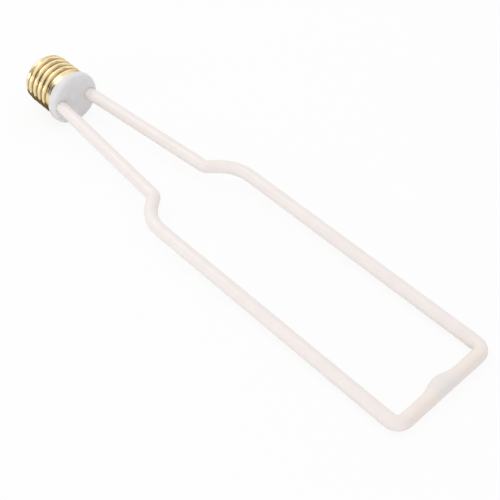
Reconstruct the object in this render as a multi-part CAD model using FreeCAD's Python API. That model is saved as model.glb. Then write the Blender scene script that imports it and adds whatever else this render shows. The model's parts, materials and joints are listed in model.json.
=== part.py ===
import FreeCAD, Part
import math
import os

from FreeCAD import Placement, Rotation, Vector

# A mains LED lamp: one frosted glass tube bent to the outline of a bottle, on a screw cap.
# Millimetres. The lamp is drawn along X, with the cap's rim at x = 0, the cap towards -X and the
# glass loop towards +X, flat in the XY plane. At the end it is laid on a table top, where it
# rests on its collar and on the far end of the loop, with +Z up.

# Glass tube: its section and the centreline of its outline
tube_diameter = 6.3
tube_wall = 0.7
body_width = 55.7
body_length = 146.8
shoulder_length = 10.3
neck_length = 80.1
neck_width_at_shoulder = 31.5
neck_width_at_collar = 17.6
neck_bend_radius = 4.0
shoulder_bend_radius = 18.9
corner_bend_radius = 4.7
bulge_length = 21.0
bulge_height = 2.1
tube_seal_length = 3.0
bore_facets = 3
tube_insertion = 8.0

# Lit strips in the tube, with the wires at their ends
strip_width = 2.0
strip_thickness = 1.0
strip_start = 5.0
strip_gap = 18.0
wire_diameter = 0.6
wire_lap = 3.0

# Collar between the tube and the cap
collar_diameter = 28.0
collar_thickness = 4.0
collar_shoulder = 2.4
shoulder_facets = 3
plug_length = 7.0
plug_clearance = 0.1
socket_clearance = 0.1
wire_hole_clearance = 0.5
groove_clearance = 0.1

# Screw cap, size E27: the sheet shell spans the thread's crests, and the plug clears its roots
thread_crest_diameter = 26.2
thread_root_diameter = 24.4
shell_wall = 0.3
shell_barrel_length = 20.8
shell_taper_length = 2.8
shell_nose_diameter = 18.4

# Insulator and centre contact
insulator_nose_length = 2.6
insulator_nose_diameter = 11.4
insulator_backing = 1.9
contact_diameter = 10.0
contact_thickness = 1.0
contact_bevel = 0.4
rivet_diameter = 2.4
contact_floor = 0.6
bore_clearance = 0.05

# Driver board and what is soldered to it
board_length = 11.5
board_width = 21.0
board_thickness = 1.0
board_slot_depth = 2.0
slot_clearance = 0.05
package_length = 4.8
package_width = 3.9
package_height = 1.5
package_setback = 0.6
package_offset = 3.9
leg_thickness = 0.2
leg_width = 0.5
leg_foot = 0.6
leg_reach = 1.0
leg_rise = 0.8
rectifier_leg_pitch = 2.6
chip_leg_pitch = 1.27
sense_length = 3.2
sense_width = 1.6
sense_height = 0.6
sense_cap_length = 0.5
sense_cap_rise = 0.05
sense_rear_margin = 1.2
can_diameter = 8.0
can_height = 8.0
can_bevel = 0.5
can_setback = 0.5
fuse_diameter = 2.2
fuse_length = 4.4
fuse_board_gap = 0.4
fuse_lap = 2.4
neutral_rear_margin = 3.3
neutral_forward_margin = 1.5

# Sizes that follow from those above
tube_radius = tube_diameter / 2
bore_radius = tube_radius - tube_wall
wire_radius = wire_diameter / 2
collar_radius = collar_diameter / 2
crest_radius = thread_crest_diameter / 2
nose_radius = shell_nose_diameter / 2
plug_radius = thread_root_diameter / 2 - shell_wall - plug_clearance
x_face = collar_thickness
x_neck = x_face + neck_length
x_body = x_neck + shoulder_length
x_end = x_body + body_length
neck_half_at_collar = neck_width_at_collar / 2
neck_half_at_shoulder = neck_width_at_shoulder / 2
neck_slope = (neck_half_at_shoulder - neck_half_at_collar) / neck_length
neck_angle = math.atan(neck_slope)
x_tube_end = x_face - tube_insertion * math.cos(neck_angle)
x_shell_nose = -shell_barrel_length - shell_taper_length
x_insulator_nose = x_shell_nose - insulator_nose_length
taper_slope = (crest_radius - nose_radius) / shell_taper_length
taper_inset = shell_wall * math.hypot(1, taper_slope)
nose_bore_radius = nose_radius - taper_inset
x_board_front = -plug_length + board_slot_depth
x_board_end = x_board_front - board_length
z_board_top = -wire_radius
z_board_bottom = z_board_top - board_thickness


def turned(outline):
    """A solid of revolution about X. The outline is a closed list of (x, radius) points."""
    corners = [Vector(x, 0, r) for x, r in outline]
    face = Part.Face(Part.makePolygon(corners + corners[:1]))
    return face.revolve(Vector(0, 0, 0), Vector(1, 0, 0), 360)


def rod(start, end, radius):
    """A round rod from one point to another."""
    axis = Vector(*end) - Vector(*start)
    return Part.makeCylinder(radius, axis.Length, Vector(*start), axis)


def block(x_range, y_range, z_range):
    size = [high - low for low, high in (x_range, y_range, z_range)]
    return Part.makeBox(*size, Vector(x_range[0], y_range[0], z_range[0]))


def bent_path(points, radii, facets=0):
    """A wire of straight runs with an arc at each inner point, or that many mitred turns in its place."""
    edges = []
    start = Vector(*points[0])
    for index, radius in enumerate(radii):
        corner = Vector(*points[index + 1])
        back = (Vector(*points[index]) - corner).normalize()
        ahead = (Vector(*points[index + 2]) - corner).normalize()
        half_angle = back.getAngle(ahead) / 2
        reach = radius / math.tan(half_angle)
        enter = corner + back * reach
        leave = corner + ahead * reach
        centre = corner + (back + ahead).normalize() * (radius / math.sin(half_angle))
        if facets:
            half_step = (math.pi / 2 - half_angle) / facets
            spokes = [enter - centre, leave - centre]
            axis = spokes[0].cross(spokes[1])
            for count in range(facets):
                turn = Rotation(axis, math.degrees(half_step * (2 * count + 1)))
                mitre = centre + turn.multVec(spokes[0]) / math.cos(half_step)
                edges.append(Part.LineSegment(start, mitre).toShape())
                start = mitre
        else:
            edges.append(Part.LineSegment(start, enter).toShape())
            middle = centre - (back + ahead).normalize() * radius
            edges.append(Part.Arc(enter, middle, leave).toShape())
            start = leave
    edges.append(Part.LineSegment(start, Vector(*points[-1])).toShape())
    return Part.Wire(edges)


def swept(path, section, mitred=False):
    """The section, a closed wire about the path's start, carried along the path."""
    if not mitred:
        return path.makePipeShell([section], True, False)
    shell = Part.BRepOffsetAPI.MakePipeShell(path)
    shell.setTransitionMode(1)
    shell.add(section)
    shell.build()
    shell.makeSolid()
    return shell.shape()


def start_of(path):
    """The place and direction in which a path sets out."""
    first = path.OrderedEdges[0]
    return first.valueAt(first.FirstParameter), first.tangentAt(first.FirstParameter)


def ring_section(path, radius):
    place, direction = start_of(path)
    return Part.Wire(Part.Circle(place, direction, radius).toShape())


def strip_section(path):
    """An upright rectangle: the strip bends the easy way, across its thickness."""
    place, direction = start_of(path)
    side = direction.cross(Vector(0, 0, 1)) * (strip_thickness / 2)
    up = Vector(0, 0, strip_width / 2)
    corners = [place + side + up, place - side + up, place - side - up, place + side - up]
    return Part.makePolygon(corners + corners[:1])


def mirrored(solid):
    """The same form on the other side of the lamp's middle plane."""
    return solid.mirror(Vector(0, 0, 0), Vector(0, 1, 0))


def neck_y(x):
    """The neck's centreline, straight from the collar to the shoulder."""
    return neck_half_at_collar + neck_slope * (x - x_face)


def half_loop(x_start, y_stop, facets=0):
    """The tube's centreline on the +Y side, from a place in the neck to a place in the end run."""
    body_y = body_width / 2
    points = [
        (x_start, neck_y(x_start), 0),
        (x_neck, neck_half_at_shoulder, 0),
        (x_body, body_y, 0),
        (x_end, body_y, 0),
        (x_end, y_stop, 0),
    ]
    bends = [neck_bend_radius, shoulder_bend_radius, corner_bend_radius]
    return bent_path(points, bends, facets)


def make_bulge():
    """The swelling in the middle of the end run, which reaches inwards and leaves the outside straight."""
    stations = 4
    rings = []
    for index in range(stations + 1):
        along = index / stations
        rise = bulge_height * math.sin(math.pi * along) ** 2
        centre = Vector(x_end - rise / 2, bulge_length * (along - 0.5), 0)
        if index in (0, stations):
            curve = Part.Circle(centre, Vector(0, -1, 0), tube_radius)
            curve.XAxis = Vector(1, 0, 0)
        else:
            outer = centre + Vector(tube_radius + rise / 2, 0, 0)
            top = centre + Vector(0, 0, tube_radius)
            curve = Part.Ellipse(outer, top, centre)
        rings.append(Part.Wire(curve.toShape()))
    return Part.makeLoft(rings, True, False)


def make_glass_tube():
    """The bent tube, sealed at both ends. Its bore turns in short mitred lengths inside the bends."""
    half_bulge = bulge_length / 2
    path = half_loop(x_tube_end, half_bulge)
    limb = swept(path, ring_section(path, tube_radius))
    outside = make_bulge().fuse([limb, mirrored(limb)])
    x_bore = x_tube_end + tube_seal_length * math.cos(neck_angle)
    bore_path = half_loop(x_bore, 0, bore_facets)
    bore = swept(bore_path, ring_section(bore_path, bore_radius), mitred=True)
    x_beyond = x_tube_end - tube_seal_length
    wire_way = rod((x_beyond, neck_y(x_beyond), 0), (x_bore, neck_y(x_bore), 0), wire_radius)
    return outside.cut([bore, mirrored(bore), wire_way, mirrored(wire_way)])


def make_led_strip():
    """A flexible strip of light-emitting dies under its coat, from the neck to the bulge."""
    path = half_loop(x_face + strip_start, strip_gap / 2)
    return swept(path, strip_section(path))


def make_strip_link():
    half = strip_gap / 2
    return rod((x_end, -half, 0), (x_end, half, 0), wire_radius)


def make_lead_in_wire():
    """The wire from the strip's end through the glass seal to the board's pad."""
    x_strip = x_face + strip_start
    x_pad = x_board_front - wire_lap
    return rod((x_pad, neck_y(x_pad), 0), (x_strip, neck_y(x_strip), 0), wire_radius)


def make_collar():
    """The moulded collar: a disc with a rounded shoulder, and a plug that closes the cap."""
    outline = [(x_face, 0)]
    for count in range(shoulder_facets + 1):
        angle = math.pi / 2 * count / shoulder_facets
        x = x_face - collar_shoulder * (1 - math.cos(angle))
        outline.append((x, collar_radius - collar_shoulder * (1 - math.sin(angle))))
    outline += [(0, collar_radius), (0, plug_radius), (-plug_length, plug_radius), (-plug_length, 0)]
    body = turned(outline)
    x_beyond = x_face + collar_radius
    socket = rod(
        (x_tube_end, neck_y(x_tube_end), 0),
        (x_beyond, neck_y(x_beyond), 0),
        tube_radius + socket_clearance,
    )
    x_behind = -plug_length - collar_radius
    wire_hole = rod(
        (x_behind, neck_y(x_behind), 0),
        (x_face, neck_y(x_face), 0),
        wire_radius + wire_hole_clearance,
    )
    slot_half = board_width / 2 + slot_clearance
    board_slot = block(
        (-plug_length, x_board_front),
        (-slot_half, slot_half),
        (z_board_bottom - slot_clearance, z_board_top + slot_clearance),
    )
    groove_half = wire_radius + groove_clearance
    neutral_groove = block(
        (-plug_length, -neutral_forward_margin + groove_half),
        (-groove_half, groove_half),
        (neutral_run_z() - groove_half, plug_radius + wire_diameter),
    )
    holes = [socket, mirrored(socket), wire_hole, mirrored(wire_hole)]
    return body.cut(holes + [board_slot, neutral_groove])


def neutral_run_z():
    """The neutral wire runs sunk in the plug's groove."""
    return plug_radius - wire_diameter


def shell_form(inset):
    """The cap's turned form, its outside at inset 0 or its hollow at the sheet's thickness."""
    end_inset = inset * math.hypot(1, taper_slope)
    return turned([
        (0, 0),
        (0, crest_radius - inset),
        (-shell_barrel_length + (end_inset - inset) / taper_slope, crest_radius - inset),
        (x_shell_nose, nose_radius - end_inset),
        (x_shell_nose, 0),
    ])


def make_screw_shell():
    """The sheet-metal shell of the cap, at the size of its thread's crests."""
    return shell_form(0).cut(shell_form(shell_wall))


def make_base_insulator():
    """The moulded insulator that fills the cap's nose and carries the contact."""
    x_backing = x_shell_nose + insulator_backing
    return turned([
        (x_backing, rivet_diameter / 2),
        (x_backing, nose_bore_radius + taper_slope * insulator_backing),
        (x_shell_nose, nose_bore_radius),
        (x_shell_nose, nose_radius),
        (x_insulator_nose, insulator_nose_diameter / 2),
        (x_insulator_nose, rivet_diameter / 2),
    ])


def make_contact_button():
    """The pressed centre contact, with a hollow rivet that takes the live wire."""
    contact_radius = contact_diameter / 2
    hole_radius = wire_radius + bore_clearance
    x_contact = x_insulator_nose - contact_thickness
    x_rivet = x_shell_nose + insulator_backing
    return turned([
        (x_contact, 0),
        (x_contact, contact_radius - contact_bevel),
        (x_contact + contact_bevel, contact_radius),
        (x_insulator_nose, contact_radius),
        (x_insulator_nose, rivet_diameter / 2),
        (x_rivet, rivet_diameter / 2),
        (x_rivet, hole_radius),
        (x_contact + contact_floor, hole_radius),
        (x_contact + contact_floor, 0),
    ])


def make_driver_board():
    half = board_width / 2
    return block((x_board_end, x_board_front), (-half, half), (z_board_bottom, z_board_top))


def gull_wing(x, y, side):
    """One bent leg of a package: out of its side, down, and a flat foot on the board."""
    z_out = z_board_top + leg_rise
    knee = y + side * (leg_reach - leg_foot)
    toe = y + side * leg_reach
    outline = [
        (y, z_out),
        (knee, z_out),
        (knee, z_board_top + leg_thickness),
        (toe, z_board_top + leg_thickness),
        (toe, z_board_top),
        (knee - side * leg_thickness, z_board_top),
        (knee - side * leg_thickness, z_out - leg_thickness),
        (y, z_out - leg_thickness),
    ]
    corners = [Vector(x - leg_width / 2, py, pz) for py, pz in outline]
    face = Part.Face(Part.makePolygon(corners + corners[:1]))
    return face.extrude(Vector(leg_width, 0, 0))


def soldered_package(side, legs_a_side, leg_pitch):
    """A moulded package on the board's upper face, with legs along both long sides."""
    x_middle = -plug_length - package_setback - package_length / 2
    y_middle = side * package_offset
    half_x = package_length / 2
    half_y = package_width / 2
    body = block(
        (x_middle - half_x, x_middle + half_x),
        (y_middle - half_y, y_middle + half_y),
        (z_board_top + leg_thickness / 2, z_board_top + package_height),
    )
    legs = []
    for index in range(legs_a_side):
        x_leg = x_middle + leg_pitch * (index - (legs_a_side - 1) / 2)
        legs.append(gull_wing(x_leg, y_middle + half_y, 1))
        legs.append(gull_wing(x_leg, y_middle - half_y, -1))
    return body.fuse(legs)


def make_sense_resistor():
    """A flat chip resistor, proud at its two metal end caps."""
    x_rear = x_board_end + sense_rear_margin
    across = (x_rear, x_rear + sense_width)
    y_near = -package_offset - sense_length / 2
    y_far = y_near + sense_length
    z_top = z_board_top + sense_height
    chip = block(across, (y_near, y_far), (z_board_top, z_top - sense_cap_rise))
    caps = [
        block(across, (y_near, y_near + sense_cap_length), (z_board_top, z_top)),
        block(across, (y_far - sense_cap_length, y_far), (z_board_top, z_top)),
    ]
    return chip.fuse(caps)


def make_smoothing_capacitor():
    """A can that stands on the board's under face."""
    can_radius = can_diameter / 2
    outline = [
        (0, 0),
        (0, can_radius),
        (can_height - can_bevel, can_radius),
        (can_height, can_radius - can_bevel),
        (can_height, 0),
    ]
    can = turned(outline)
    can.rotate(Vector(0, 0, 0), Vector(0, 1, 0), 90)
    can.translate(Vector(-plug_length - can_setback - can_radius, 0, z_board_bottom))
    return can


def make_fuse_resistor():
    """The fusible resistor on the live wire, between the board and the centre contact."""
    x_front = x_board_end - fuse_board_gap
    body = rod((x_front - fuse_length, 0, 0), (x_front, 0, 0), fuse_diameter / 2)
    x_hole_floor = x_insulator_nose - contact_thickness + contact_floor
    lead = rod((x_hole_floor, 0, 0), (x_board_end + fuse_lap, 0, 0), wire_radius)
    return body.fuse(lead)


def make_neutral_lead():
    """The neutral wire: up from the board, along the plug's groove and out to the shell."""
    x_rise = x_board_end + neutral_rear_margin
    x_out = -neutral_forward_margin
    z_run = neutral_run_z()
    corners = [
        Vector(x_rise, 0, z_board_top),
        Vector(x_rise, 0, z_run),
        Vector(x_out, 0, z_run),
        Vector(x_out, 0, crest_radius - shell_wall - bore_clearance),
    ]
    path = Part.makePolygon(corners)
    return swept(path, ring_section(path, wire_radius), mitred=True)


def rest_tilt():
    """The slope of the line that touches the collar's rim and the end run from below."""
    span = x_end - (x_face - collar_shoulder)
    reach = math.hypot(collar_radius, span)
    return math.acos(tube_radius / reach) - math.atan2(span, collar_radius)


def resting_place(solids):
    """The move that lays the lamp on the table, with the origin under the middle of its box."""
    tilt = rest_tilt()
    turn = Placement(Vector(0, 0, 0), Rotation(Vector(0, 1, 0), math.degrees(tilt)))
    laid = Part.makeCompound(solids)
    laid.Placement = turn
    box = laid.optimalBoundingBox(False)
    floor = -x_end * math.sin(tilt) - tube_radius
    shift = Placement(Vector(-(box.XMin + box.XMax) / 2, 0, -floor), Rotation())
    return shift.multiply(turn)


left_strip = make_led_strip()
left_lead_in = make_lead_in_wire()
parts = {
    "glass_tube": make_glass_tube(),
    "led_strip_left": left_strip,
    "led_strip_right": mirrored(left_strip),
    "strip_link": make_strip_link(),
    "lead_in_wire_left": left_lead_in,
    "lead_in_wire_right": mirrored(left_lead_in),
    "collar": make_collar(),
    "screw_shell": make_screw_shell(),
    "base_insulator": make_base_insulator(),
    "contact_button": make_contact_button(),
    "driver_board": make_driver_board(),
    "bridge_rectifier": soldered_package(1, 2, rectifier_leg_pitch),
    "driver_chip": soldered_package(-1, 4, chip_leg_pitch),
    "sense_resistor": make_sense_resistor(),
    "smoothing_capacitor": make_smoothing_capacitor(),
    "fuse_resistor": make_fuse_resistor(),
    "neutral_lead": make_neutral_lead(),
}

place = resting_place([parts["glass_tube"], parts["collar"], parts["contact_button"]])
os.makedirs("parts", exist_ok=True)
for name, solid in parts.items():
    solid.Placement = place.multiply(solid.Placement)
    solid.exportStep(os.path.join("parts", name + ".step"))
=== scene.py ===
import bpy
import json
import math
from mathutils import Matrix, Vector


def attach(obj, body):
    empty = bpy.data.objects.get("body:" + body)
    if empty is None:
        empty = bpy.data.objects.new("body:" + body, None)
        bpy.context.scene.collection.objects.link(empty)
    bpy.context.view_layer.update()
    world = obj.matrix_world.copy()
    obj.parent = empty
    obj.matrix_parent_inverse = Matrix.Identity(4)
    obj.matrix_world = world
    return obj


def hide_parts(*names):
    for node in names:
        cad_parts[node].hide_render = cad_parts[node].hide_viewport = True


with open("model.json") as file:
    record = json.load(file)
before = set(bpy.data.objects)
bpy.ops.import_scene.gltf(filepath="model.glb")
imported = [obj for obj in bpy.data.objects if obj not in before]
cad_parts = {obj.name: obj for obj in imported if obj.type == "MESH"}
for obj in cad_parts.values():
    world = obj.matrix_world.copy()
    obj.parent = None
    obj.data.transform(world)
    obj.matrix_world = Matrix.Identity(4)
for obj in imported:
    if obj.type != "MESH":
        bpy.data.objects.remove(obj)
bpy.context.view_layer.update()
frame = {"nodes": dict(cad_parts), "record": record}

# Lit strips and their wires. Each strip is a flexible band of small light-emitting dies under a warm
# phosphor coat. It is pushed into the bent tube, and a tinned wire at each end carries the current:
# through the glass at the neck, and across to the other strip at the swelling.
mm = 0.001
strip_colours = ((0.95, 0.62, 0.30, 1), (0.86, 0.50, 0.22, 1))
wire_colours = ((0.74, 0.73, 0.70, 1), (0.55, 0.54, 0.51, 1))
grain_detail = 4
tone_stops = (0.35, 0.65)
relief_share = 0.25


def grained(name, light, dark, grain, roughness, metallic=0.0, relief=0.1):
    """A finish that wanders between two tones in grains of that size, with a slight relief."""
    material = bpy.data.materials.new(name)
    material.use_nodes = True
    nodes = material.node_tree.nodes
    links = material.node_tree.links
    shader = nodes["Principled BSDF"]
    shader.inputs["Roughness"].default_value = roughness
    shader.inputs["Metallic"].default_value = metallic
    place = nodes.new("ShaderNodeTexCoord")
    noise = nodes.new("ShaderNodeTexNoise")
    noise.inputs["Scale"].default_value = 1 / grain
    noise.inputs["Detail"].default_value = grain_detail
    tones = nodes.new("ShaderNodeValToRGB")
    for stop, position, colour in zip(tones.color_ramp.elements, tone_stops, (dark, light)):
        stop.position = position
        stop.color = colour
    bump = nodes.new("ShaderNodeBump")
    bump.inputs["Strength"].default_value = relief
    bump.inputs["Distance"].default_value = grain * relief_share
    links.new(place.outputs["Object"], noise.inputs["Vector"])
    links.new(noise.outputs["Fac"], tones.inputs["Fac"])
    links.new(tones.outputs["Color"], shader.inputs["Base Color"])
    links.new(noise.outputs["Fac"], bump.inputs["Height"])
    links.new(bump.outputs["Normal"], shader.inputs["Normal"])
    return material


def dress(material, *names):
    """Gives pieces of the frame their finish."""
    for name in names:
        for slot in frame["nodes"][name].material_slots:
            slot.material = material


strip_coat = grained("strip_coat", *strip_colours, grain=0.9 * mm, roughness=0.7)
tinned_wire = grained("tinned_wire", *wire_colours, grain=0.3 * mm, roughness=0.3, metallic=1.0)
dress(strip_coat, "led_strip_left", "led_strip_right")
dress(tinned_wire, "strip_link", "lead_in_wire_left", "lead_in_wire_right")

# Glass tube. One frosted glass tube, heated and bent to the outline of a bottle round its two strips.
# Both ends are sealed. In the middle of the end run, where the ends of the heated glass were joined,
# it swells towards the inside of the outline.
mounts = {mount["name"]: mount for mount in frame["record"]["mounts"]}
cap_axis = Vector(mounts["centre_contact"]["axis"])
cap_length = 27.2 * mm
rim_centre = Vector(mounts["centre_contact"]["pos_m"]) - cap_axis * cap_length
tilt = math.asin(cap_axis.z)
lie_on_table = Matrix.Translation(rim_centre) @ Matrix.Rotation(tilt, 4, "Y")
collar_thickness = 4 * mm
tube_radius = 3.15 * mm
tube_wall = 0.7 * mm
tube_insertion = 8 * mm
neck_length = 80.1 * mm
shoulder_length = 10.3 * mm
body_length = 146.8 * mm
neck_half_at_collar = 8.8 * mm
neck_half_at_shoulder = 15.75 * mm
body_half = 27.85 * mm
bend_radii = (4 * mm, 18.9 * mm, 4.7 * mm)
bulge_length = 21 * mm
bulge_height = 2.1 * mm
tube_segments = 56
bend_steps = 14
bulge_steps = 14
weld_gap = 0.001 * mm
mirror_gap = 0.01 * mm
smooth_angle = math.radians(35)
neck_slope = (neck_half_at_shoulder - neck_half_at_collar) / neck_length
neck_angle = math.atan(neck_slope)
x_neck = collar_thickness + neck_length
x_body = x_neck + shoulder_length
x_end = x_body + body_length
x_tube_end = collar_thickness - tube_insertion * math.cos(neck_angle)
glass_colours = ((0.90, 0.835, 0.805, 1), (0.88, 0.81, 0.78, 1))
glass_index = 1.47
satin_coat = 0.4
satin_roughness = 0.12
tints_from_swelling = (
    (4 * mm, (0.955, 0.965, 0.97, 1)),
    (12 * mm, (1.01, 0.98, 0.94, 1)),
    (18 * mm, (1.01, 0.98, 0.945, 1)),
    (34 * mm, (1, 1, 1, 1)),
)


def neck_point(x):
    """A point of the neck's centreline on the left."""
    return Vector((x, neck_half_at_collar + neck_slope * (x - collar_thickness), 0))


def add_ring(name, centre, heading, radius, segments):
    """A circle that faces along a heading in the lamp's plane, left selected in edit mode."""
    bpy.ops.object.select_all(action="DESELECT")
    turn = (0, math.pi / 2, heading)
    bpy.ops.mesh.primitive_circle_add(vertices=segments, radius=radius, location=centre, rotation=turn)
    piece = bpy.context.object
    piece.name = name
    piece.data.name = name
    bpy.ops.object.transform_apply(location=True, rotation=True, scale=True)
    bpy.ops.object.mode_set(mode="EDIT")
    bpy.ops.mesh.select_all(action="SELECT")
    return piece


def draw_out(step):
    """Extrudes the selected ring by that step."""
    bpy.ops.mesh.extrude_region_move(TRANSFORM_OT_translate={"value": step})


def bend_along(corners, radii):
    """Draws the ring out along straight runs and spins it round each inner corner."""
    place = corners[0]
    for index, radius in enumerate(radii):
        corner = corners[index + 1]
        back = (corners[index] - corner).normalized()
        ahead = (corners[index + 2] - corner).normalized()
        half_angle = back.angle(ahead) / 2
        reach = radius / math.tan(half_angle)
        enter = corner + back * reach
        leave = corner + ahead * reach
        centre = corner + (back + ahead).normalized() * (radius / math.sin(half_angle))
        draw_out(enter - place)
        axis = (leave - centre).cross(enter - centre)
        turn = math.pi - 2 * half_angle
        bpy.ops.mesh.spin(steps=bend_steps, angle=turn, center=centre, axis=axis)
        place = leave
    draw_out(corners[-1] - place)


def swell_to_middle():
    """Draws the ring out to the lamp's middle plane while it widens towards the inside."""
    x = x_end
    radius = tube_radius
    y_step = -bulge_length / 2 / bulge_steps
    for index in range(1, bulge_steps + 1):
        rise = bulge_height * math.sin(math.pi * index / bulge_steps / 2) ** 2
        x_new = x_end - rise / 2
        radius_new = tube_radius + rise / 2
        draw_out((x_new - x, y_step, 0))
        widen = (radius_new / radius, 1, 1)
        bpy.ops.transform.resize(value=widen, center_override=(x_new, 0, 0))
        x = x_new
        radius = radius_new


def select_open_edges():
    bpy.ops.mesh.select_all(action="DESELECT")
    bpy.ops.mesh.select_non_manifold(use_wire=False, use_multi_face=False, use_non_contiguous=False)


def weld():
    """Merges the points that lie on each other."""
    bpy.ops.mesh.select_all(action="SELECT")
    bpy.ops.mesh.remove_doubles(threshold=weld_gap)


def turn_faces_out():
    bpy.ops.mesh.select_all(action="SELECT")
    bpy.ops.mesh.normals_make_consistent(inside=False)


def apply_modifiers(piece):
    for modifier in list(piece.modifiers):
        bpy.ops.object.modifier_apply(modifier=modifier.name)


def thicken(piece, wall):
    """Gives a skin its wall, inwards."""
    sheet = piece.modifiers.new("wall", "SOLIDIFY")
    sheet.thickness = wall
    sheet.offset = -1
    apply_modifiers(piece)


def lay_down(piece):
    """Lays a piece drawn about the lamp's own axis on the table, and smooths its round faces."""
    bpy.ops.object.select_all(action="DESELECT")
    piece.select_set(True)
    bpy.context.view_layer.objects.active = piece
    piece.matrix_world = lie_on_table
    bpy.ops.object.transform_apply(location=True, rotation=True, scale=True)
    bpy.ops.object.shade_smooth_by_angle(angle=smooth_angle)


def put_in_place(piece, node, material):
    """Lets a finished piece stand for its node."""
    piece.data.materials.clear()
    piece.data.materials.append(material)
    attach(piece, "root")
    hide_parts(node)


def make_tube():
    """Bends the left half, mirrors it at the swelling, closes its ends and gives it its wall."""
    start = neck_point(x_tube_end)
    piece = add_ring("frosted_tube", start, neck_angle, tube_radius, tube_segments)
    corners = [
        start,
        neck_point(x_neck),
        Vector((x_body, body_half, 0)),
        Vector((x_end, body_half, 0)),
        Vector((x_end, bulge_length / 2, 0)),
    ]
    bend_along(corners, bend_radii)
    swell_to_middle()
    bpy.ops.object.mode_set(mode="OBJECT")
    mirror = piece.modifiers.new("other_side", "MIRROR")
    mirror.use_axis = (False, True, False)
    mirror.merge_threshold = mirror_gap
    apply_modifiers(piece)
    bpy.ops.object.mode_set(mode="EDIT")
    select_open_edges()
    bpy.ops.mesh.fill_holes(sides=0)
    bpy.ops.mesh.poke()
    turn_faces_out()
    bpy.ops.object.mode_set(mode="OBJECT")
    thicken(piece, tube_wall)
    lay_down(piece)
    return piece


def sum_node(tree, kind, operation, *values):
    """One sum in a finish, on the results of other nodes or on plain values."""
    node = tree.nodes.new(kind)
    node.operation = operation
    for socket, value in zip(node.inputs, values):
        if isinstance(value, bpy.types.NodeSocket):
            tree.links.new(value, socket)
        else:
            socket.default_value = value
    return node


def colour_mixer(tree, blend_type):
    """A colour mixer's four sockets: the share of the second colour, the two colours, the result."""
    mixer = tree.nodes.new("ShaderNodeMix")
    mixer.data_type = "RGBA"
    mixer.blend_type = blend_type
    sockets = {socket.identifier: socket for socket in [*mixer.inputs, *mixer.outputs]}
    return [sockets[name] for name in ("Factor_Float", "A_Color", "B_Color", "Result_Color")]


def frosted_glass():
    """Acid-frosted glass: milky, warmed by the strips behind it, and greyer at the empty swelling."""
    material = grained("frosted_glass", *glass_colours, grain=6 * mm, roughness=0.45, relief=0.02)
    tree = material.node_tree
    shader = tree.nodes["Principled BSDF"]
    shader.inputs["IOR"].default_value = glass_index
    shader.inputs["Coat Weight"].default_value = satin_coat
    shader.inputs["Coat Roughness"].default_value = satin_roughness
    milky = shader.inputs["Base Color"].links[0].from_socket
    place = tree.nodes.new("ShaderNodeTexCoord").outputs["Object"]
    swelling = lie_on_table @ Vector((x_end, 0, 0))
    farthest = tints_from_swelling[-1][0]
    away = sum_node(tree, "ShaderNodeVectorMath", "DISTANCE", place, swelling)
    share = sum_node(tree, "ShaderNodeMath", "DIVIDE", away.outputs["Value"], farthest)
    tints = tree.nodes.new("ShaderNodeValToRGB")
    tints.color_ramp.interpolation = "EASE"
    stops = tints.color_ramp.elements
    while len(stops) < len(tints_from_swelling):
        stops.new(1)
    for stop, (distance, colour) in zip(stops, tints_from_swelling):
        stop.position = distance / farthest
        stop.color = colour
    amount, plain, tint, tinted = colour_mixer(tree, "MULTIPLY")
    amount.default_value = 1
    tree.links.new(share.outputs["Value"], tints.inputs["Fac"])
    tree.links.new(milky, plain)
    tree.links.new(tints.outputs["Color"], tint)
    tree.links.new(tinted, shader.inputs["Base Color"])
    return material


put_in_place(make_tube(), "glass_tube", frosted_glass())

# Collar. A disc of opal plastic with a rounded shoulder, moulded in one with the plug that closes the
# cap. Both ends of the tube are glued into its sockets, and the board stands in a slot in the plug.
collar_radius = 14 * mm
collar_shoulder = 2.4 * mm
rim_bevel = 0.2 * mm
plug_radius = 11.8 * mm
plug_length = 7 * mm
socket_radius = 3.25 * mm
wire_hole_radius = 0.8 * mm
board_slot = Vector((2.0, 21.1, 1.1)) * mm
board_slot_z = -0.8 * mm
neutral_groove = Vector((5.9, 0.8, 1.1)) * mm
groove_overcut = Vector((0.1, 0, 0)) * mm
turned_segments = 144
shoulder_steps = 10
drill_segments = 64
opal_colours = ((0.79, 0.775, 0.79, 1), (0.76, 0.745, 0.755, 1))
opal_scatter = (1, 0.9, 0.95)
opal_depth = 1.5 * mm
opal_share = 0.35


def turned(name, outline):
    """A form turned about the lamp's axis, drawn out ring by ring along (x, radius) points."""
    x, radius = outline[0]
    piece = add_ring(name, (x, 0, 0), 0, radius, turned_segments)
    for x_new, radius_new in outline[1:]:
        draw_out((x_new - x, 0, 0))
        factor = radius_new / radius
        bpy.ops.transform.resize(value=(1, factor, factor), center_override=(x_new, 0, 0))
        x = x_new
        radius = radius_new
    return piece


def close_ends():
    """Fills each open ring with a fan of faces, and turns all faces outwards."""
    weld()
    select_open_edges()
    bpy.ops.mesh.edge_face_add()
    bpy.ops.mesh.poke()
    turn_faces_out()


def rounded_shoulder():
    """The quarter round from the collar's side to its face."""
    points = []
    for index in range(shoulder_steps + 1):
        angle = math.pi / 2 * index / shoulder_steps
        x = collar_thickness - collar_shoulder * (1 - math.sin(angle))
        radius = collar_radius - collar_shoulder * (1 - math.cos(angle))
        points.append((x, radius))
    return points


def cut_away(piece, tool):
    """Cuts a tool's form out of a piece, and removes the tool."""
    bpy.ops.object.select_all(action="DESELECT")
    piece.select_set(True)
    bpy.context.view_layer.objects.active = piece
    cut = piece.modifiers.new("cut", "BOOLEAN")
    cut.object = tool
    cut.solver = "EXACT"
    apply_modifiers(piece)
    bpy.data.objects.remove(tool)


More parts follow.
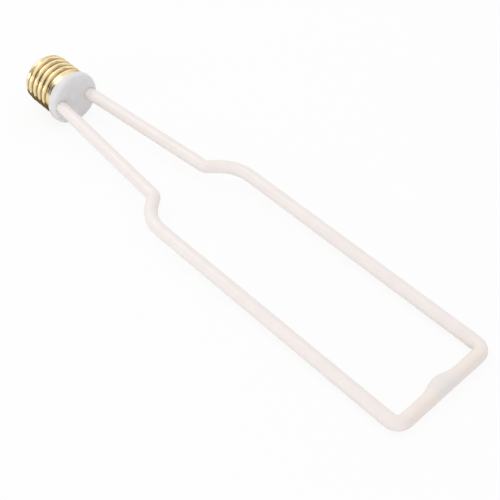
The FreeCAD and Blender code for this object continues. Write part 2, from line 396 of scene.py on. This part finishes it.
def drill(piece, start, heading, radius, depth):
    """Drills a round hole from its start along a heading in the lamp's plane."""
    centre = start + Vector((math.cos(heading), math.sin(heading), 0)) * (depth / 2)
    turn = (0, math.pi / 2, heading)
    bpy.ops.mesh.primitive_cylinder_add(
        vertices=drill_segments, radius=radius, depth=depth, location=centre, rotation=turn
    )
    cut_away(piece, bpy.context.object)


def mill(piece, size, centre):
    """Mills a box of that size out of a piece."""
    bpy.ops.mesh.primitive_cube_add(size=1, location=centre, scale=size)
    cut_away(piece, bpy.context.object)


def make_collar():
    """Turns the plug and the disc, then cuts the sockets, the wire holes, the slot and the groove."""
    outline = [
        (-plug_length, plug_radius),
        (0, plug_radius),
        (0, collar_radius - rim_bevel),
        (rim_bevel, collar_radius),
    ]
    piece = turned("opal_collar", outline + rounded_shoulder())
    close_ends()
    bpy.ops.object.mode_set(mode="OBJECT")
    for side in (1, -1):
        mirror = Vector((1, side, 1))
        heading = side * neck_angle
        drill(piece, neck_point(x_tube_end) * mirror, heading, socket_radius, 2 * tube_insertion)
        drill(piece, neck_point(-2 * plug_length) * mirror, heading, wire_hole_radius, 2 * plug_length)
    mill(piece, board_slot * Vector((2, 1, 1)), (-plug_length, 0, board_slot_z))
    groove_x = -plug_length + neutral_groove.x / 2
    groove_z = plug_radius - neutral_groove.z / 2
    mill(piece, neutral_groove + groove_overcut, (groove_x, 0, groove_z))
    bpy.ops.object.mode_set(mode="EDIT")
    weld()
    bpy.ops.mesh.dissolve_degenerate(threshold=weld_gap)
    bpy.ops.object.mode_set(mode="OBJECT")
    lay_down(piece)
    return piece


def opal_plastic():
    """Opal plastic: milky, cool white and faintly clouded, with a satin moulded face."""
    material = grained("opal_plastic", *opal_colours, grain=5 * mm, roughness=0.38, relief=0.03)
    shader = material.node_tree.nodes["Principled BSDF"]
    shader.inputs["Subsurface Weight"].default_value = opal_share
    shader.inputs["Subsurface Radius"].default_value = opal_scatter
    shader.inputs["Subsurface Scale"].default_value = opal_depth
    return material


put_in_place(make_collar(), "collar", opal_plastic())

# Driver. A small white board with the bridge rectifier, the driver chip and a sense resistor on its
# upper face and a smoothing capacitor under it, all soldered down before the cap goes on. The fusible
# resistor is in the live wire to the centre contact, and a tinned wire leads from the board to the shell.
board_colours = ((0.86, 0.87, 0.84, 1), (0.80, 0.81, 0.78, 1))
package_colours = ((0.05, 0.05, 0.05, 1), (0.03, 0.03, 0.03, 1))
resistor_colours = ((0.22, 0.33, 0.27, 1), (0.17, 0.27, 0.22, 1))
sleeve_colours = ((0.08, 0.08, 0.10, 1), (0.05, 0.05, 0.07, 1))
board_white = grained("board_white", *board_colours, grain=0.8 * mm, roughness=0.4)
moulded_black = grained("moulded_black", *package_colours, grain=0.2 * mm, roughness=0.6)
resistor_green = grained("resistor_green", *resistor_colours, grain=0.4 * mm, roughness=0.35)
sleeve_black = grained("sleeve_black", *sleeve_colours, grain=1.5 * mm, roughness=0.25)
dress(board_white, "driver_board")
dress(moulded_black, "bridge_rectifier", "driver_chip")
dress(resistor_green, "sense_resistor", "fuse_resistor")
dress(sleeve_black, "smoothing_capacitor")
dress(tinned_wire, "neutral_lead")

# Screw shell. Thin gilt sheet, drawn to a cup and rolled to a round right-hand thread. A plain band
# is left at the rim, which is crimped over the plug, and the nose is drawn in round the insulator.
crest_radius = 13.1 * mm
thread_depth = 0.9 * mm
thread_pitch = 3.629 * mm
thread_round = 1.025 * mm
x_top_crest = -4 * mm
run_in = (-2.3 * mm, -4.6 * mm)
run_out = (-19.2 * mm, -20.8 * mm)
shell_wall = 0.3 * mm
barrel_length = 20.8 * mm
taper_length = 2.8 * mm
nose_radius = 9.2 * mm
corner_ease = 2 * mm
barrel_rings = 104
ease_steps = 6
half_pitch = thread_pitch / 2
arc_rise = 2 * thread_round - thread_depth
arc_span = math.hypot(half_pitch, arc_rise)
flank_angle = math.pi / 2 - math.atan2(arc_rise, half_pitch) - math.acos(2 * thread_round / arc_span)
arc_reach = thread_round * math.sin(flank_angle)
gilt_colours = ((0.99, 0.88, 0.60, 1), (0.95, 0.77, 0.42, 1))
edge_brown = (0.55, 0.42, 0.22, 1)
streak_stretch = 4
# Painted shade in the thread's grooves: its brown, the radius below which it is full and the radius at
# which it fades out.
groove_shade_brown = (0.46, 0.29, 0.11, 1)
groove_shade_floor = crest_radius - 0.85 * mm
groove_shade_lip = crest_radius - 0.35 * mm


def below_crest(along):
    """How far the rolled profile lies under its crests, at a distance along the axis from one.

    An arc rounds the crest, another rounds the root, and a straight flank touches both.
    """
    from_crest = abs((along + half_pitch) % thread_pitch - half_pitch)
    if from_crest < arc_reach:
        return thread_round - math.sqrt(thread_round ** 2 - from_crest ** 2)
    from_root = half_pitch - from_crest
    if from_root < arc_reach:
        return thread_depth - thread_round + math.sqrt(thread_round ** 2 - from_root ** 2)
    drop = thread_round * (1 - math.cos(flank_angle))
    return drop + (from_crest - arc_reach) * math.tan(flank_angle)


def eased(start, stop, value):
    """A share that eases from 0 at the start to 1 at the stop."""
    share = min(max((value - start) / (stop - start), 0), 1)
    return share * share * (3 - 2 * share)


def roll_thread(piece):
    """Presses the thread into a plain barrel: each point moves in by the profile's depth there."""
    for vertex in piece.data.vertices:
        x, y, z = vertex.co
        radius = math.hypot(y, z)
        from_top = (math.atan2(z, y) - math.pi / 2) / math.tau
        along = x - x_top_crest - thread_pitch * from_top
        depth = below_crest(along) * eased(*run_in, x) * (1 - eased(*run_out, x))
        factor = (radius - depth) / radius
        vertex.co = (x, y * factor, z * factor)


def drawn_in_nose():
    """The eased corner from the barrel to the cone of the nose."""
    corner = Vector((-barrel_length, crest_radius))
    nose = Vector((-barrel_length - taper_length, nose_radius))
    down = (nose - corner).normalized()
    points = []
    for index in range(ease_steps + 1):
        share = index / ease_steps
        before = Vector((corner_ease * (1 - share) ** 2, 0))
        points.append(corner + before + down * corner_ease * share ** 2)
    points.append(nose)
    return [tuple(point) for point in points]


def make_screw_shell():
    """Draws the plain cup, rolls the thread into it and gives the sheet its thickness."""
    barrel = barrel_length - corner_ease
    outline = [(-barrel * index / barrel_rings, crest_radius) for index in range(barrel_rings)]
    piece = turned("rolled_shell", outline + drawn_in_nose())
    turn_faces_out()
    bpy.ops.object.mode_set(mode="OBJECT")
    roll_thread(piece)
    thicken(piece, shell_wall)
    lay_down(piece)
    return piece


def graded(tree, value, span, results=(0, 1), interpolation="LINEAR"):
    """Turns a value on one span into one between two results."""
    node = tree.nodes.new("ShaderNodeMapRange")
    node.interpolation_type = interpolation
    node.inputs["From Min"].default_value, node.inputs["From Max"].default_value = span
    node.inputs["To Min"].default_value, node.inputs["To Max"].default_value = results
    tree.links.new(value, node.inputs["Value"])
    return node.outputs["Result"]


def gilt_sheet():
    """Bright gilt sheet, streaked round the barrel, with painted shade in the thread's grooves: brown
    down at their floors.
    """
    material = grained(
        "gilt_sheet", *gilt_colours, grain=2.5 * mm, roughness=0.16, metallic=1.0, relief=0.3
    )
    tree = material.node_tree
    shader = tree.nodes["Principled BSDF"]
    shader.inputs["Specular Tint"].default_value = edge_brown
    sheet = shader.inputs["Base Color"].links[0].from_socket
    place = tree.nodes.new("ShaderNodeTexCoord").outputs["Object"]
    own_frame = tree.nodes.new("ShaderNodeMapping")
    own_frame.vector_type = "TEXTURE"
    own_frame.inputs["Location"].default_value = rim_centre
    own_frame.inputs["Rotation"].default_value = (0, tilt, 0)
    tree.links.new(place, own_frame.inputs["Vector"])
    from_rim = own_frame.outputs["Vector"]
    streaks = sum_node(tree, "ShaderNodeVectorMath", "MULTIPLY", from_rim, (streak_stretch, 1, 1))
    tree.links.new(streaks.outputs["Vector"], tree.nodes["Noise Texture"].inputs["Vector"])
    along = tree.nodes.new("ShaderNodeSeparateXYZ")
    tree.links.new(from_rim, along.inputs["Vector"])
    threaded = graded(tree, along.outputs["X"], reversed(run_out))
    across = sum_node(tree, "ShaderNodeVectorMath", "MULTIPLY", from_rim, (0, 1, 1))
    radius = sum_node(tree, "ShaderNodeVectorMath", "LENGTH", across.outputs["Vector"])
    # Painted shade: the colour turns brown deep in the grooves of the threaded part.
    in_groove = graded(tree, radius.outputs["Value"], (groove_shade_floor, groove_shade_lip), (1, 0))
    groove_shade_share = sum_node(tree, "ShaderNodeMath", "MULTIPLY", in_groove, threaded)
    amount, bare, groove_shade_colour, finished = colour_mixer(tree, "MIX")
    groove_shade_colour.default_value = groove_shade_brown
    tree.links.new(groove_shade_share.outputs["Value"], amount)
    tree.links.new(sheet, bare)
    tree.links.new(finished, shader.inputs["Base Color"])
    return material


put_in_place(make_screw_shell(), "screw_shell", gilt_sheet())

# Insulator and centre contact. A glossy black insulator is moulded into the nose of the shell, and
# the tinned contact button is riveted through it, with a blob of solder over the rivet's hole.
x_nose = -barrel_length - taper_length
insulator_length = 2.6 * mm
insulator_end_radius = 5.7 * mm
insulator_backing = 1.9 * mm
backing_radius = 11.4 * mm
insulator_ease = 0.5 * mm
contact_radius = 5 * mm
contact_thickness = 1 * mm
contact_round = 0.4 * mm
contact_dish = 0.3 * mm
dish_shares = ((1 / 3, 0.8), (1, 0.5))
solder_radius = 1.7 * mm
rivet_radius = 1.2 * mm
round_steps = 5
insulator_colours = ((0.035, 0.035, 0.04, 1), (0.02, 0.02, 0.025, 1))
contact_colours = ((0.70, 0.66, 0.58, 1), (0.58, 0.54, 0.46, 1))
x_back = x_nose + insulator_backing
x_seat = x_nose - insulator_length


def make_insulator():
    """The ring behind the shell's nose, the cone in front of it and the rivet's hole through both."""
    outline = [
        (x_back, rivet_radius),
        (x_back, backing_radius),
        (x_nose, nose_radius - shell_wall),
        (x_nose, nose_radius - insulator_ease / 2),
        (x_nose - insulator_ease / 2, nose_radius - insulator_ease / 2),
        (x_seat + insulator_ease, insulator_end_radius + insulator_ease),
        (x_seat + insulator_ease / 3, insulator_end_radius + insulator_ease / 3),
        (x_seat, insulator_end_radius - insulator_ease / 2),
        (x_seat, rivet_radius),
        (x_back, rivet_radius),
    ]
    piece = turned("nose_insulator", outline)
    weld()
    turn_faces_out()
    bpy.ops.object.mode_set(mode="OBJECT")
    lay_down(piece)
    return piece


def make_contact():
    """The rivet, the button's rounded edge, its dished face and the dome of solder in the middle."""
    x_front = x_seat - contact_thickness
    outline = [(x_back, rivet_radius), (x_seat, rivet_radius)]
    for index in range(round_steps + 1):
        angle = math.pi / 2 * index / round_steps
        x = x_front + contact_round * (1 - math.sin(angle))
        outline.append((x, contact_radius - contact_round * (1 - math.cos(angle))))
    for depth_share, radius_share in dish_shares:
        outline.append((x_front + contact_dish * depth_share, contact_radius * radius_share))
    for index in range(round_steps):
        angle = math.pi / 2 * index / round_steps
        x = x_front + contact_dish * (1 - math.sin(angle))
        outline.append((x, solder_radius * math.cos(angle)))
    piece = turned("contact_face", outline)
    close_ends()
    bpy.ops.object.mode_set(mode="OBJECT")
    lay_down(piece)
    return piece


insulator_black = grained("insulator_black", *insulator_colours, grain=2 * mm, roughness=0.12)
contact_tin = grained("contact_tin", *contact_colours, grain=1 * mm, roughness=0.28, metallic=1.0)
put_in_place(make_insulator(), "base_insulator", insulator_black)
put_in_place(make_contact(), "contact_button", contact_tin)

# Studio. A white table top runs into a white background. A soft light hangs overhead and a wider one
# stands low at the side, in a bright room with a few dark cards that only reflections show. The
# camera has the photograph's angle.
table_size = 6
table_paint = (0.9, 0.9, 0.9, 1)
shadow_share = 0.12
# The card under the cap is a painted dark reflection: only the metal reflects it, in place of the shaded
# table there.
floor_card_place = (-0.129, -0.009, 0.0002)
floor_card_size = (0.04, 0.032, 1)
reflected_shade_brown = (0.2, 0.17, 0.12, 1)
white = (1, 1, 1, 1)
room_level = 1
# Each dark card of the room: the azimuth and elevation of its middle, how far round it the full dark
# and the dim edge reach, all in degrees, and the share of the light that it leaves.
dark_cards = (
    (-122, 18, 12, 34, 0.05),
    (40, 25, 10, 28, 0.1),
)
# Each light: its name, place, width and height, and power in watts.
lights = (
    ("key", (-0.45, -0.15, 0.65), (0.35, 0.35), 0.6),
    ("fill", (-0.15, -0.8, 0.2), (0.6, 0.3), 1.0),
)
camera_place = (0.23784, -0.21964, 0.30470)
camera_turn = (45.144, -1.497, 45.794)
camera_lens = 68.69
camera_sensor = 36
camera_near = 0.01


def make_table():
    """A white table top. The camera sees it white, with only a share of the lamp's shadow."""
    bpy.ops.object.select_all(action="DESELECT")
    bpy.ops.mesh.primitive_plane_add(size=table_size, location=(0, 0, 0))
    table = bpy.context.object
    table.name = "table_top"
    material = bpy.data.materials.new("table_white")
    material.use_nodes = True
    tree = material.node_tree
    tree.nodes.remove(tree.nodes["Principled BSDF"])
    paint = tree.nodes.new("ShaderNodeBsdfDiffuse")
    paint.inputs["Color"].default_value = table_paint
    glow = tree.nodes.new("ShaderNodeEmission")
    rays = tree.nodes.new("ShaderNodeLightPath").outputs
    straight = (rays["Is Camera Ray"], rays["Is Transmission Ray"])
    seen = sum_node(tree, "ShaderNodeMath", "MAXIMUM", *straight)
    share = sum_node(tree, "ShaderNodeMath", "MULTIPLY", seen.outputs["Value"], 1 - shadow_share)
    both = tree.nodes.new("ShaderNodeMixShader")
    tree.links.new(share.outputs["Value"], both.inputs["Fac"])
    tree.links.new(paint.outputs[0], both.inputs[1])
    tree.links.new(glow.outputs[0], both.inputs[2])
    tree.links.new(both.outputs[0], tree.nodes["Material Output"].inputs["Surface"])
    table.data.materials.append(material)


def lay_reflected_shade_card():
    """A dark card on the table under the cap, which only the metal's reflections show: a painted dark
    reflection, in place of the shaded table under the cap.
    """
    bpy.ops.object.select_all(action="DESELECT")
    bpy.ops.mesh.primitive_plane_add(size=1, location=floor_card_place)
    card = bpy.context.object
    card.name = "floor_card"
    card.scale = floor_card_size
    card.visible_camera = False
    card.visible_diffuse = False
    card.visible_shadow = False
    material = bpy.data.materials.new("reflected_shade_brown")
    material.use_nodes = True
    shader = material.node_tree.nodes["Principled BSDF"]
    shader.inputs["Base Color"].default_value = reflected_shade_brown
    shader.inputs["Roughness"].default_value = 1
    shader.inputs["Specular IOR Level"].default_value = 0
    card.data.materials.append(material)


def make_room():
    """A bright room with dark cards in it, which the metal reflects. The camera sees plain white."""
    world = bpy.data.worlds.new("room")
    world.use_nodes = True
    bpy.context.scene.world = world
    tree = world.node_tree
    around = tree.nodes.new("ShaderNodeTexCoord").outputs["Generated"]
    level = room_level
    for azimuth, elevation, inner, outer, left in dark_cards:
        raise_it = Matrix.Rotation(-math.radians(elevation), 3, "Y")
        turn_it = Matrix.Rotation(math.radians(azimuth), 3, "Z")
        middle = turn_it @ raise_it @ Vector((1, 0, 0))
        facing = sum_node(tree, "ShaderNodeVectorMath", "DOT_PRODUCT", around, middle)
        edge = [math.cos(math.radians(angle)) for angle in (outer, inner)]
        card = graded(tree, facing.outputs["Value"], edge, (1, left), "SMOOTHSTEP")
        level = sum_node(tree, "ShaderNodeMath", "MULTIPLY", level, card).outputs["Value"]
    walls = tree.nodes["Background"]
    walls.inputs["Color"].default_value = white
    tree.links.new(level, walls.inputs["Strength"])
    backdrop = tree.nodes.new("ShaderNodeBackground")
    backdrop.inputs["Color"].default_value = white
    path = tree.nodes.new("ShaderNodeLightPath")
    both = tree.nodes.new("ShaderNodeMixShader")
    tree.links.new(path.outputs["Is Camera Ray"], both.inputs["Fac"])
    tree.links.new(walls.outputs[0], both.inputs[1])
    tree.links.new(backdrop.outputs[0], both.inputs[2])
    tree.links.new(both.outputs[0], tree.nodes["World Output"].inputs["Surface"])


def add_light(name, place, size, power):
    """A soft rectangular light that faces the lamp."""
    data = bpy.data.lights.new(name, "AREA")
    data.shape = "RECTANGLE"
    data.size, data.size_y = size
    data.energy = power
    light = bpy.data.objects.new(name, data)
    bpy.context.scene.collection.objects.link(light)
    light.location = place
    light.rotation_euler = (-Vector(place)).to_track_quat("-Z", "Y").to_euler()
    light.visible_camera = False


def add_camera():
    data = bpy.data.cameras.new("camera")
    data.sensor_width = camera_sensor
    data.lens = camera_lens
    data.clip_start = camera_near
    camera = bpy.data.objects.new("camera", data)
    bpy.context.scene.collection.objects.link(camera)
    camera.location = camera_place
    camera.rotation_euler = [math.radians(angle) for angle in camera_turn]
    bpy.context.scene.camera = camera


make_table()
lay_reflected_shade_card()
make_room()
for light in lights:
    add_light(*light)
add_camera()
bpy.context.scene.view_settings.view_transform = "Standard"
